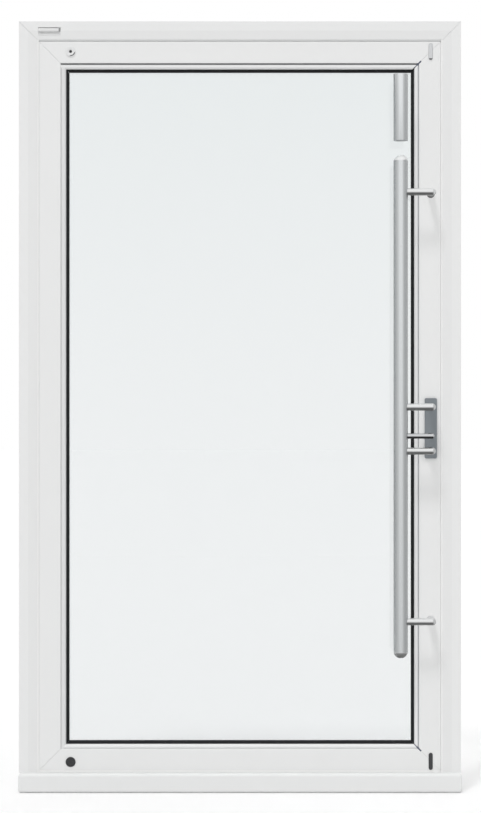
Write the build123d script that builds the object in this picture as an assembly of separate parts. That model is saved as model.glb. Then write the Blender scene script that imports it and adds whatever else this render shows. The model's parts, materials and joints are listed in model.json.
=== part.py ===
from build123d import *
import math
import os

os.makedirs("parts", exist_ok=True)

# Overall door set, in mm
overall_width = 1240.0
overall_height = 2160.0
frame_depth = 80.0
frame_face = 51.0
threshold_height = 53.5
threshold_nose = 30.0
threshold_round_top = 8.0
threshold_round_low = 8.0
threshold_round_end = 5.0
face_band = 26.0
face_slope = 1.2

# Leaf
leaf_thickness = 75.0
rail_face = 61.0
running_gap = 5.0
lock_gap = 6.0
pivot_inset = 89.0
edge_round = 2.0
mitre_gap = 0.4

# Glazing
bead_width = 15.0
top_bead_width = 16.5
bead_slim = 12.9
bead_setback = 1.5
bead_nose = 7.0
bead_groove = 1.5
bead_groove_depth = 3.0
bead_crest = 4.0
top_groove = 3.2
top_groove_depth = 5.0
top_crest = 5.0
bead_open_mitre = 2.5
glass_recess = 15.5
pane = 6.0
cavity = 16.0
glass_cover = 4.0
gasket_thick = 4.0
gasket_lip = 9.0
gasket_under = 9.5
gasket_edge = 1.2
inner_lip = 5.0
spacer_width = 9.0
spacer_inset = 4.0
corner_gap = 0.4

# Pull handle
bar_diameter = 40.0
bar_wall = 2.5
bar_length = 1396.0
bar_inset = 116.5
bar_standoff = 75.0
cap_height = 15.0
cap_taper = 12.0
cap_end_diameter = 20.0
cap_spigot = 20.0
spigot_clearance = 0.05
upper_bar_drop = 10.5
upper_bar_length = 189.0
bar_break = 40.0
pad_diameter = 28.0
pad_thick = 5.0
post_diameter = 14.0
post_share = 0.22

# Brackets, lock rod and lock plates
hardware_inset = 28.0
upper_bracket_drop = 102.0
lower_bracket_rise = 100.0
lock_height = 1019.0
lock_upper_rise = 59.5
lock_lower_drop = 63.0
lock_rod_drop = 21.0
arm_diameter = 20.0
rod_diameter = 15.0
stub_diameter = 12.0
arm_overrun = 2.5
rosette_diameter = 28.0
rosette_thick = 8.0
rosette_top = 18.0
cope_clearance = 0.05
plate_width = 34.0
plate_height = 169.0
plate_thick = 8.0
plate_corner = 4.0
plate_edge = 1.5
lever_diameter = 18.0
lever_neck = 42.0
lever_length = 88.0

# Lock in the edge
faceplate_width = 24.0
faceplate_height = 240.0
faceplate_thick = 3.0
latch_width = 14.0
latch_height = 26.0
latch_depth = 40.0
latch_rise = 41.0
deadbolt_height = 34.0
deadbolt_drop = 34.0
latch_clearance = 0.3
strike_height = 180.0

# Pivots on the leaf's turning axis
pivot_plate_length = 100.0
pivot_plate_width = 34.0
pivot_plate_thick = 6.0
top_pin_diameter = 16.0
top_pin_length = 20.0
top_shoe_depth = 18.0
floor_spindle_diameter = 20.0
floor_spindle_length = 25.0
floor_shoe_depth = 28.0
pin_clearance = 0.08
thrust_clearance = 0.3
top_pin_end_gap = 2.0

# Covers and caps on the face
top_cover_diameter = 27.0
top_cover_drop = 28.5
top_cover_proud = 3.0
top_cover_socket = 7.0
low_cover_diameter = 28.0
low_cover_rise = 24.5
low_cover_proud = 2.0
bolt_width = 11.0
bolt_length = 48.0
bolt_sunk = 2.0
bolt_proud = 1.6
bolt_setback = 4.5
low_bolt_setback = 2.0
bolt_reveal = 0.6
bolt_end_flats = 6
head_cap_width = 57.5
head_cap_height = 8.5
head_cap_inset = 83.2
head_cap_drop = 23.4
head_cap_sunk = 9.0
head_cap_proud = 2.5
head_cap_reveal = 2.4
head_cap_end_reveal = 5.0
head_cap_fit = 0.2
head_cap_chamfer = 1.2
head_cap_ramp = 11.0
head_cap_ramp_depth = 5.5

# Wall fixings through the jambs
fixing_diameter = 10.5
fixing_end = 200.0
fixing_count = 4

# Levels and lines that follow from the sizes above
half_width = overall_width / 2
half_depth = frame_depth / 2
half_leaf = leaf_thickness / 2
jamb_inner = half_width - frame_face
head_under = overall_height - frame_face
leaf_left = -(jamb_inner - running_gap)
leaf_right = jamb_inner - lock_gap
leaf_bottom = threshold_height + running_gap
leaf_top = head_under - running_gap
leaf_width = leaf_right - leaf_left
leaf_height = leaf_top - leaf_bottom
leaf_mid_x = (leaf_left + leaf_right) / 2
leaf_mid_z = (leaf_bottom + leaf_top) / 2
axis_x = leaf_left + pivot_inset
edge_radius = math.hypot(pivot_inset, half_leaf)
jamb_radius = edge_radius + running_gap
glass_front = -half_leaf + glass_recess
glass_back = glass_front + 2 * pane + cavity
bead_top_y = -half_leaf + bead_setback
bead_low_y = glass_front - gasket_thick
back_bead_low_y = glass_back + gasket_thick
back_bead_top_y = half_leaf - bead_setback
bar_y = -half_leaf - bar_standoff
plate_face_y = -half_leaf - plate_thick
open_left = leaf_left + rail_face
open_right = leaf_right - rail_face
open_bottom = leaf_bottom + rail_face
open_top = leaf_top - rail_face
sight_top = open_top - top_bead_width - gasket_lip
bar_centre_x = leaf_right - bar_inset
hardware_line_x = leaf_right - hardware_inset
upper_bar_top = sight_top - upper_bar_drop
upper_bar_bottom = upper_bar_top - upper_bar_length
bar_top = upper_bar_bottom - bar_break
bar_bottom = bar_top - bar_length
upper_bracket_z = bar_top - upper_bracket_drop
lower_bracket_z = bar_bottom + lower_bracket_rise
lock_upper_z = lock_height + lock_upper_rise
lock_lower_z = lock_height - lock_lower_drop
lock_rod_z = lock_height - lock_rod_drop
lever_z = lock_upper_z
latch_z = lock_height + latch_rise
deadbolt_z = lock_height - deadbolt_drop
head_cap_x = -half_width + head_cap_inset
head_cap_z = overall_height - head_cap_drop
fixing_low_z = threshold_height + fixing_end
fixing_high_z = overall_height - fixing_end
fixing_step = (fixing_high_z - fixing_low_z) / (fixing_count - 1)


def save(shape, name):
    export_step(shape, "parts/" + name + ".step")


def block(x0, x1, y0, y1, z0, z1):
    centre = Pos((x0 + x1) / 2, (y0 + y1) / 2, (z0 + z1) / 2)
    return centre * Box(x1 - x0, y1 - y0, z1 - z0)


def rod_x(x0, x1, y, z, diameter):
    turn = Pos((x0 + x1) / 2, y, z) * Rot(0, 90, 0)
    return turn * Cylinder(diameter / 2, x1 - x0)


def rod_y(x, y0, y1, z, diameter):
    turn = Pos(x, (y0 + y1) / 2, z) * Rot(90, 0, 0)
    return turn * Cylinder(diameter / 2, y1 - y0)


def rod_z(x, y, z0, z1, diameter):
    return Pos(x, y, (z0 + z1) / 2) * Cylinder(diameter / 2, z1 - z0)


def outline(points):
    return make_face(Polyline(*points, close=True))


def run(section, length, cut_low, cut_high, width, gap):
    # A straight length of profile: section drawn with X towards the opening and Y through
    # the door, run along Z, each end square or mitred at 45 degrees and eased for the joint.
    long = Pos(0, 0, -length / 2) * extrude(section, length)
    ease = gap / math.sqrt(2)
    low = -length / 2
    high = length / 2
    low_ease = ease if cut_low else 0
    high_ease = ease if cut_high else 0
    if cut_low:
        end_shape = [(-40, low), (-low_ease, low), (width, low + width + low_ease)]
    else:
        end_shape = [(-40, low), (width, low)]
    if cut_high:
        end_shape += [(width, high - width - high_ease), (-high_ease, high), (-40, high)]
    else:
        end_shape += [(width, high), (-40, high)]
    keep = Rot(90, 0, 0) * Pos(0, 0, -200) * extrude(outline(end_shape), 400)
    return long & keep


def on_left(piece, edge, mid_z):
    return Pos(edge, 0, mid_z) * piece


def on_right(piece, edge, mid_z):
    return Pos(edge, 0, mid_z) * Rot(0, 180, 0) * piece


def on_top(piece, edge, mid_x):
    return Pos(mid_x, 0, edge) * Rot(0, 90, 0) * piece


def on_bottom(piece, edge, mid_x):
    return Pos(mid_x, 0, edge) * Rot(0, -90, 0) * piece


# Frame profile: flat outer band on the face, then a slight slope in towards the leaf
frame_section = outline(
    [
        (0, -half_depth),
        (face_band, -half_depth),
        (frame_face, -half_depth + face_slope),
        (frame_face, half_depth),
        (0, half_depth),
    ]
)
jamb_length = overall_height - threshold_height
jamb_mid_z = (overall_height + threshold_height) / 2
fixing_heights = [fixing_low_z + fixing_step * number for number in range(fixing_count)]


def drill_fixings(jamb, side):
    for height in fixing_heights:
        start = side * half_width
        jamb -= rod_x(min(0, start * 2), max(0, start * 2), 0, height, fixing_diameter)
    return jamb


# Left jamb: its inner face is hollowed to an arc about the pivot axis
left_jamb = run(frame_section, jamb_length, False, True, frame_face, mitre_gap)
left_jamb = on_left(left_jamb, -half_width, jamb_mid_z)
left_jamb -= rod_z(axis_x, 0, threshold_height - 1, head_under, 2 * jamb_radius)
left_jamb = drill_fixings(left_jamb, -1)
save(left_jamb, "left_jamb")

# Right jamb, with pockets for the strike plate and for the latch and bolt behind it
right_jamb = run(frame_section, jamb_length, True, False, frame_face, mitre_gap)
right_jamb = on_right(right_jamb, half_width, jamb_mid_z)
right_jamb = drill_fixings(right_jamb, 1)
strike_low = lock_height - strike_height / 2
strike_high = lock_height + strike_height / 2
half_face = faceplate_width / 2
half_latch = latch_width / 2
right_jamb -= block(
    jamb_inner, jamb_inner + faceplate_thick, -half_face, half_face, strike_low, strike_high
)
strike_slots = []
for centre, height in ((latch_z, latch_height), (deadbolt_z, deadbolt_height)):
    strike_slots.append(
        block(
            jamb_inner - 1,
            jamb_inner + 20,
            -half_latch - 1,
            half_latch + 1,
            centre - height / 2 - 1,
            centre + height / 2 + 1,
        )
    )
for slot in strike_slots:
    right_jamb -= slot
save(right_jamb, "right_jamb")

strike_plate = block(
    jamb_inner, jamb_inner + faceplate_thick, -half_face, half_face, strike_low, strike_high
)
for slot in strike_slots:
    strike_plate -= slot
save(strike_plate, "strike_plate")

# Head, with the pivot plate let into its underside and in its face the cover cap's pocket,
# which runs out to the face in a ramp below the cap
head = run(frame_section, overall_width, True, True, frame_face, mitre_gap)
head = on_top(head, overall_height, 0)
half_plate = pivot_plate_length / 2
half_plate_y = pivot_plate_width / 2
head -= block(
    axis_x - half_plate,
    axis_x + half_plate,
    -half_plate_y,
    half_plate_y,
    head_under,
    head_under + pivot_plate_thick,
)
cap_left = head_cap_x - head_cap_width / 2
cap_right = head_cap_x + head_cap_width / 2
cap_low = head_cap_z - head_cap_height / 2
cap_high = head_cap_z + head_cap_height / 2
pocket_left = cap_left - head_cap_fit
pocket_right = cap_right + head_cap_end_reveal
pocket_low = cap_low - head_cap_fit
head -= block(
    pocket_left,
    pocket_right,
    -half_depth - head_cap_proud,
    -half_depth + head_cap_sunk,
    pocket_low,
    cap_high + head_cap_reveal,
)
ramp_front = -half_depth - head_cap_proud
ramp_run = head_cap_ramp * (head_cap_ramp_depth + head_cap_proud) / head_cap_ramp_depth
ramp_side = outline(
    [
        (-half_depth + head_cap_ramp_depth, pocket_low),
        (ramp_front, pocket_low - ramp_run),
        (ramp_front, pocket_low),
    ]
)
head -= Pos(pocket_left, 0, 0) * extrude(Plane.YZ * ramp_side, pocket_right - pocket_left)
save(head, "head")

head_cover_cap = block(
    cap_left, cap_right, -half_depth - head_cap_proud, -half_depth + head_cap_sunk, cap_low, cap_high
)
cap_front = head_cover_cap.faces().sort_by(Axis.Y)[0]
head_cover_cap = chamfer(cap_front.edges(), head_cap_chamfer)
save(head_cover_cap, "head_cover_cap")

# Threshold: full width, nosing in front of the frame's face, rounded along the top, foot and ends
threshold = block(
    -half_width, half_width, -half_depth - threshold_nose, half_depth, 0, threshold_height
)
nose_y = -half_depth - threshold_nose
end_edges = [
    edge
    for edge in threshold.edges().filter_by(Axis.Z)
    if abs(edge.center().Y - nose_y) < 0.01
]
threshold = fillet(end_edges, threshold_round_end)
top_edges = [
    edge
    for edge in threshold.edges()
    if abs(edge.center().Y - nose_y) < 0.01 and abs(edge.center().Z - threshold_height) < 0.01
]
threshold = fillet(top_edges, threshold_round_top)
low_edges = [
    edge
    for edge in threshold.edges()
    if abs(edge.center().Y - nose_y) < 0.01 and abs(edge.center().Z) < 0.01
]
threshold = fillet(low_edges, threshold_round_low)
threshold -= block(
    axis_x - half_plate,
    axis_x + half_plate,
    -half_plate_y,
    half_plate_y,
    threshold_height - pivot_plate_thick,
    threshold_height,
)
save(threshold, "threshold")

# Pivots: plates let into head and threshold, with the pin and spindle the leaf turns on
top_pivot_bearing = block(
    axis_x - half_plate,
    axis_x + half_plate,
    -half_plate_y,
    half_plate_y,
    head_under,
    head_under + pivot_plate_thick,
)
top_pivot_bearing += rod_z(axis_x, 0, head_under - top_pin_length, head_under + 1, top_pin_diameter)
save(top_pivot_bearing, "top_pivot_bearing")

floor_pivot_bearing = block(
    axis_x - half_plate,
    axis_x + half_plate,
    -half_plate_y,
    half_plate_y,
    threshold_height - pivot_plate_thick,
    threshold_height,
)
spindle_top = threshold_height + floor_spindle_length
floor_pivot_bearing += rod_z(axis_x, 0, threshold_height - 1, spindle_top, floor_spindle_diameter)
save(floor_pivot_bearing, "floor_pivot_bearing")

# Leaf profile, arrises eased
leaf_section = fillet(
    outline([(0, -half_leaf), (rail_face, -half_leaf), (rail_face, half_leaf), (0, half_leaf)]).vertices(),
    edge_round,
)

# Pivot stile: its edge is an arc about the pivot axis, so it turns inside the hollowed jamb
bulge = edge_radius - pivot_inset
stile_outline = [
    Line((rail_face, half_leaf), (0, half_leaf)),
    ThreePointArc((0, half_leaf), (-bulge, 0), (0, -half_leaf)),
    Line((0, -half_leaf), (rail_face, -half_leaf)),
    Line((rail_face, -half_leaf), (rail_face, half_leaf)),
]
pivot_section = make_face(stile_outline)
pivot_section = fillet(pivot_section.vertices(), edge_round)
pivot_stile = run(pivot_section, leaf_height, True, True, rail_face, mitre_gap)
pivot_stile = on_left(pivot_stile, leaf_left, leaf_mid_z)
save(pivot_stile, "pivot_stile")

# Lock stile, with pockets for the faceplate, latch and bolt
lock_stile = run(leaf_section, leaf_height, True, True, rail_face, mitre_gap)
lock_stile = on_right(lock_stile, leaf_right, leaf_mid_z)
face_low = lock_height - faceplate_height / 2
face_high = lock_height + faceplate_height / 2
faceplate = block(leaf_right - faceplate_thick, leaf_right, -half_face, half_face, face_low, face_high)
lock_stile -= faceplate
lock_bolts = []
for centre, height in ((latch_z, latch_height), (deadbolt_z, deadbolt_height)):
    hollow = block(
        leaf_right - latch_depth,
        leaf_right + 1,
        -half_latch - latch_clearance,
        half_latch + latch_clearance,
        centre - height / 2 - latch_clearance,
        centre + height / 2 + latch_clearance,
    )
    lock_stile -= hollow
    faceplate -= hollow
    lock_bolts.append(
        block(
            leaf_right - latch_depth,
            leaf_right,
            -half_latch,
            half_latch,
            centre - height / 2,
            centre + height / 2,
        )
    )
bolt_x = hardware_line_x
top_bolt_high = leaf_top - bolt_setback
low_bolt_low = leaf_bottom + low_bolt_setback


def bolt_slot(z0, z1, margin, front_y):
    # Strip with rounded ends, each end in short flats
    radius = bolt_width / 2 + margin
    corners = []
    for centre_z, start in ((z1 - bolt_width / 2, 0), (z0 + bolt_width / 2, 180)):
        for step in range(bolt_end_flats + 1):
            turn = math.radians(start + 180 * step / bolt_end_flats)
            corners.append((bolt_x + radius * math.cos(turn), centre_z + radius * math.sin(turn)))
    depth = -half_leaf + bolt_sunk - front_y
    return Pos(0, front_y, 0) * extrude(Plane.XZ * outline(corners), -depth)


bolt_levels = {
    "top_bolt_cover": (top_bolt_high - bolt_length, top_bolt_high),
    "low_bolt_cover": (low_bolt_low, low_bolt_low + bolt_length),
}
save(faceplate, "lock_faceplate")
save(Compound(children=lock_bolts), "lock_bolts")

# Rails, with the pivot shoes let into their outer edges
rail = run(leaf_section, leaf_width, True, True, rail_face, mitre_gap)
top_rail = on_top(rail, leaf_top, leaf_mid_x)
bottom_rail = on_bottom(rail, leaf_bottom, leaf_mid_x)
top_shoe = block(
    axis_x - half_plate,
    axis_x + half_plate,
    -half_plate_y,
    half_plate_y,
    leaf_top - top_shoe_depth,
    leaf_top,
)
top_rail -= top_shoe
top_pin_end = head_under - top_pin_length
top_shoe -= rod_z(
    axis_x, 0, top_pin_end - top_pin_end_gap, leaf_top + 1, top_pin_diameter + 2 * pin_clearance
)
save(top_shoe, "top_pivot_shoe")
floor_shoe = block(
    axis_x - half_plate,
    axis_x + half_plate,
    -half_plate_y,
    half_plate_y,
    leaf_bottom,
    leaf_bottom + floor_shoe_depth,
)
bottom_rail -= floor_shoe
floor_shoe -= rod_z(
    axis_x, 0, leaf_bottom - 1, spindle_top + thrust_clearance, floor_spindle_diameter + 2 * pin_clearance
)
save(floor_shoe, "bottom_pivot_shoe")

# Slim covers over the top and bottom bolts, let into the face
for name, (low_z, high_z) in bolt_levels.items():
    pocket = bolt_slot(low_z, high_z, bolt_reveal, -half_leaf - 1)
    top_rail -= pocket
    bottom_rail -= pocket
    lock_stile -= pocket
    save(bolt_slot(low_z, high_z, 0, -half_leaf - bolt_proud), name)
save(top_rail, "top_rail")
save(bottom_rail, "bottom_rail")
save(lock_stile, "lock_stile")

# Round pivot covers on the face, over the pivot axis
top_cover_z = leaf_top - top_cover_drop
top_cover = rod_y(axis_x, -half_leaf - top_cover_proud, -half_leaf, top_cover_z, top_cover_diameter)
top_cover -= rod_y(
    axis_x, -half_leaf - top_cover_proud - 1, -half_leaf - 0.6, top_cover_z, top_cover_socket
)
save(top_cover, "top_pivot_cover")
low_cover_z = leaf_bottom + low_cover_rise
low_cover = rod_y(axis_x, -half_leaf - low_cover_proud, -half_leaf, low_cover_z, low_cover_diameter)
save(low_cover, "bottom_pivot_cover")

# Outside glazing beads: flat land, then a quarter-round nose down to the gasket
open_width = open_right - open_left
open_height = open_top - open_bottom
open_mid_x = (open_left + open_right) / 2
open_mid_z = (open_bottom + open_top) / 2
half_chord = bead_nose * math.sqrt(0.5)
nose_end_y = bead_top_y + bead_nose


def bead_face(width, front):
    # Front lines as given, then the quarter-round nose and the back against the gasket
    start = width - bead_nose
    corners = [(0, bead_low_y)] + front + [(start, bead_top_y)]
    edges = [Line(low, high) for low, high in zip(corners, corners[1:])]
    middle = (start + half_chord, nose_end_y - half_chord)
    edges.append(ThreePointArc((start, bead_top_y), middle, (width, nose_end_y)))
    edges.append(Line((width, nose_end_y), (width, bead_low_y)))
    edges.append(Line((width, bead_low_y), (0, bead_low_y)))
    return make_face(edges)


groove_y = bead_top_y + bead_groove_depth
bead_front = [(0, groove_y), (bead_groove, groove_y), (bead_crest, bead_top_y)]
bead_section = bead_face(bead_width, bead_front)
top_groove_y = bead_top_y + top_groove_depth
top_front = [(0, top_groove_y), (top_groove, top_groove_y), (top_crest, bead_top_y)]
top_section = bead_face(top_bead_width, top_front)
slim_section = bead_face(bead_slim, bead_front)


def cope_section(width):
    return bead_face(width, [(0, -frame_depth), (width - bead_nose, -frame_depth)])


top_bead = run(top_section, open_width, False, True, top_bead_width, bead_open_mitre)
top_bead = on_top(top_bead, open_top, open_mid_x)
lock_bead = run(slim_section, open_height, True, True, bead_slim, bead_open_mitre)
lock_bead = on_right(lock_bead, open_right, open_mid_z)
bottom_bead = run(slim_section, open_width, True, False, bead_slim, bead_open_mitre)
bottom_bead = on_bottom(bottom_bead, open_bottom, open_mid_x)
pivot_bead = run(bead_section, open_height, False, False, bead_width, 0)
pivot_bead = on_left(pivot_bead, open_left, open_mid_z)
top_cope = run(cope_section(top_bead_width), open_width, False, False, top_bead_width, 0)
pivot_bead -= on_top(top_cope, open_top, open_mid_x)
pivot_cope = run(cope_section(bead_width), open_height, False, False, bead_width, 0)
bottom_bead -= on_left(pivot_cope, open_left, open_mid_z)
save(top_bead, "top_bead")
save(lock_bead, "lock_bead")
save(bottom_bead, "bottom_bead")
save(pivot_bead, "pivot_bead")

# Inside glazing beads, deeper, mitred all round
back_bead_section = outline(
    [
        (0, back_bead_low_y),
        (bead_width, back_bead_low_y),
        (bead_width, back_bead_top_y - 4),
        (bead_width - 4, back_bead_top_y),
        (0, back_bead_top_y),
    ]
)
wide_bead = run(back_bead_section, open_width, True, True, bead_width, corner_gap)
tall_bead = run(back_bead_section, open_height, True, True, bead_width, corner_gap)
inside_beads = [
    on_left(tall_bead, open_left, open_mid_z),
    on_right(tall_bead, open_right, open_mid_z),
    on_top(wide_bead, open_top, open_mid_x),
    on_bottom(wide_bead, open_bottom, open_mid_x),
]
save(Compound(children=inside_beads), "inside_beads")

# Gaskets: under the bead against the glass, with a sloping lip that shows
gasket_width = gasket_under + gasket_lip
outer_gasket_section = outline(
    [
        (0, glass_front),
        (0, bead_low_y),
        (gasket_under, bead_low_y),
        (gasket_width, glass_front - gasket_edge),
        (gasket_width, glass_front),
    ]
)
gasket_start = bead_width - gasket_under
inner_gasket_end = bead_width + inner_lip
inner_gasket_section = outline(
    [
        (gasket_start, glass_back),
        (inner_gasket_end, glass_back),
        (inner_gasket_end, glass_back + gasket_edge),
        (bead_width, back_bead_low_y),
        (gasket_start, back_bead_low_y),
    ]
)


def ring(section, width, left, right, bottom, top):
    wide = run(section, right - left, True, True, width, corner_gap)
    tall = run(section, top - bottom, True, True, width, corner_gap)
    mid_x = (left + right) / 2
    mid_z = (bottom + top) / 2
    return Compound(
        children=[
            on_left(tall, left, mid_z),
            on_right(tall, right, mid_z),
            on_top(wide, top, mid_x),
            on_bottom(wide, bottom, mid_x),
        ]
    )


opening = (open_left, open_right, open_bottom, open_top)
outer_gasket = ring(
    outer_gasket_section,
    gasket_width,
    open_left + gasket_start,
    open_right - bead_slim + gasket_under,
    open_bottom + bead_slim - gasket_under,
    open_top - top_bead_width + gasket_under,
)
save(outer_gasket, "outer_gasket")
save(ring(inner_gasket_section, inner_gasket_end, *opening), "inner_gasket")

# Double glazing: two panes and the spacer between their edges
pane_left = open_left + glass_cover
pane_right = open_right - glass_cover
pane_bottom = open_bottom + glass_cover
pane_top = open_top - glass_cover
outer_pane = block(pane_left, pane_right, glass_front, glass_front + pane, pane_bottom, pane_top)
inner_pane = block(pane_left, pane_right, glass_back - pane, glass_back, pane_bottom, pane_top)
save(outer_pane, "outer_pane")
save(inner_pane, "inner_pane")
spacer_start = glass_cover + spacer_inset
spacer_end = spacer_start + spacer_width
spacer_section = outline(
    [
        (spacer_start, glass_front + pane),
        (spacer_end, glass_front + pane),
        (spacer_end, glass_back - pane),
        (spacer_start, glass_back - pane),
    ]
)
save(ring(spacer_section, spacer_end, *opening), "pane_spacer")

# Pull bar: steel tube, tapered caps with spigots
tube_low = bar_bottom + cap_height
tube_high = bar_top - cap_height
pull_bar = rod_z(bar_centre_x, bar_y, tube_low, tube_high, bar_diameter)
pull_bar -= rod_z(bar_centre_x, bar_y, tube_low - 1, tube_high + 1, bar_diameter - 2 * bar_wall)
save(pull_bar, "pull_bar")
spigot = bar_diameter - 2 * bar_wall - 2 * spigot_clearance
end_profile = [
    (0, 0),
    (bar_diameter / 2, 0),
    (bar_diameter / 2, cap_height - cap_taper),
    (cap_end_diameter / 2, cap_height),
    (0, cap_height),
]
end_cone = revolve(Plane.XZ * outline(end_profile), Axis.Z)
plug = Pos(0, 0, -cap_spigot / 2) * Cylinder(spigot / 2, cap_spigot)
cap = end_cone + plug
top_cap = Pos(bar_centre_x, bar_y, tube_high) * cap
low_cap = Pos(bar_centre_x, bar_y, tube_low) * Rot(180, 0, 0) * cap
save(Compound(children=[top_cap, low_cap]), "pull_bar_caps")

# Short upper length of the bar, square ends, on two stand-offs bonded to the outer pane
upper_bar = rod_z(bar_centre_x, bar_y, upper_bar_bottom, upper_bar_top, bar_diameter)
save(upper_bar, "upper_bar")
bar_space = rod_z(bar_centre_x, bar_y, 0, overall_height, bar_diameter + 2 * cope_clearance)
standoffs = []
post_margin = upper_bar_length * post_share
for height in (upper_bar_bottom + post_margin, upper_bar_top - post_margin):
    standoff = rod_y(bar_centre_x, glass_front - pad_thick, glass_front, height, pad_diameter)
    standoff += rod_y(bar_centre_x, bar_y, glass_front - pad_thick, height, post_diameter)
    standoffs.append(standoff - bar_space)
save(Compound(children=standoffs), "upper_bar_standoffs")


# Cranked brackets: arm out from the bar, stub back to the stile
def crank(height, diameter, seat_y):
    arm = rod_x(bar_centre_x, hardware_line_x + arm_overrun, bar_y, height, diameter)
    stub = rod_y(hardware_line_x, bar_y, seat_y, height, stub_diameter)
    return arm + stub - bar_space


rosette_profile = [
    (0, 0),
    (rosette_diameter / 2, 0),
    (rosette_top / 2, rosette_thick),
    (0, rosette_thick),
]
rosette = Rot(90, 0, 0) * revolve(Plane.XZ * outline(rosette_profile), Axis.Z)
brackets = (
    ("upper_bracket", upper_bracket_z, -half_leaf),
    ("lower_bracket", lower_bracket_z, -half_leaf),
    ("lock_upper_bracket", lock_upper_z, plate_face_y),
    ("lock_lower_bracket", lock_lower_z, plate_face_y),
)
for name, height, seat_y in brackets:
    bracket = crank(height, arm_diameter, seat_y - rosette_thick)
    save(bracket + Pos(hardware_line_x, seat_y, height) * rosette, name)
save(crank(lock_rod_z, rod_diameter, plate_face_y), "lock_rod")


# Lock plates, outside and inside, corners and edges eased
def lock_plate(y0, y1, front_low):
    plate = block(
        hardware_line_x - plate_width / 2,
        hardware_line_x + plate_width / 2,
        y0,
        y1,
        lock_height - plate_height / 2,
        lock_height + plate_height / 2,
    )
    plate = fillet(plate.edges().filter_by(Axis.Y), plate_corner)
    faces = plate.faces().sort_by(Axis.Y)
    front = faces[0] if front_low else faces[-1]
    return chamfer(front.edges(), plate_edge)


save(lock_plate(plate_face_y, -half_leaf, True), "lock_escutcheon")
save(lock_plate(half_leaf, half_leaf + plate_thick, False), "inside_plate")

# Lever inside, neck out of the plate and grip towards the glass
lever_y = half_leaf + plate_thick + lever_neck
lever_seat = half_leaf + plate_thick
lever_left = hardware_line_x - lever_length
reach = lever_diameter
neck = rod_y(hardware_line_x, lever_seat, lever_y + reach, lever_z, lever_diameter)
grip = rod_x(lever_left, hardware_line_x + reach, lever_y, lever_z, lever_diameter)
corner = (hardware_line_x + 2 * reach, lever_y + 2 * reach)
crook = (hardware_line_x - 2 * reach, lever_y - 2 * reach)
neck_side = outline([corner, crook, (crook[0], lever_seat), (corner[0], lever_seat)])
grip_side = outline([corner, (lever_left, corner[1]), (lever_left, crook[1]), crook])
lever_foot = Pos(0, 0, lever_z - lever_diameter)
neck &= lever_foot * extrude(neck_side, 2 * lever_diameter)
grip &= lever_foot * extrude(grip_side, 2 * lever_diameter)
inside_lever = neck + grip
save(inside_lever, "inside_lever")
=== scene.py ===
import bmesh
import bpy
import json
import math
import random
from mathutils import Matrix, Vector


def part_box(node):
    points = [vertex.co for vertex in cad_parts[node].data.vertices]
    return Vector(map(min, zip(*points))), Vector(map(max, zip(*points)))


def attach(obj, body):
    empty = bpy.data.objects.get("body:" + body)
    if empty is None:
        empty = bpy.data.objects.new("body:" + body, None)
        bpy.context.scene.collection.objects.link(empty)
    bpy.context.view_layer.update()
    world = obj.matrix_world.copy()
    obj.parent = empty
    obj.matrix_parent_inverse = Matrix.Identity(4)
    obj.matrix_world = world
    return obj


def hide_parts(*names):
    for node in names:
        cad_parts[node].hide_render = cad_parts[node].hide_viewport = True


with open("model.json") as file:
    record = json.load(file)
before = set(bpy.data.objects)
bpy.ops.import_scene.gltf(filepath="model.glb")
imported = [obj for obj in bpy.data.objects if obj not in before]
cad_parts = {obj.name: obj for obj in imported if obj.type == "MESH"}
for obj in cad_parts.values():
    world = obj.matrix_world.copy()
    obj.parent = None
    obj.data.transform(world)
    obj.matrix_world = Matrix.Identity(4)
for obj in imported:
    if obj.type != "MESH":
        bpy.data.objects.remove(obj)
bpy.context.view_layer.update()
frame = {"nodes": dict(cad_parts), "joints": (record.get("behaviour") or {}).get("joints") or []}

# Threshold: one extruded aluminium sill across the full width, its nosing rounded in front of
# the frame. It is powder coated white like the rest of the metalwork and carries both jambs.
mm = 0.001


class Tone:
    def __init__(self, finish, socket):
        self.finish = finish
        self.socket = socket

    def __add__(self, other):
        return self.finish.reckon("ADD", self, other)

    def __radd__(self, other):
        return self.finish.reckon("ADD", other, self)

    def __sub__(self, other):
        return self.finish.reckon("SUBTRACT", self, other)

    def __rsub__(self, other):
        return self.finish.reckon("SUBTRACT", other, self)

    def __mul__(self, other):
        return self.finish.reckon("MULTIPLY", self, other)


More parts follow.
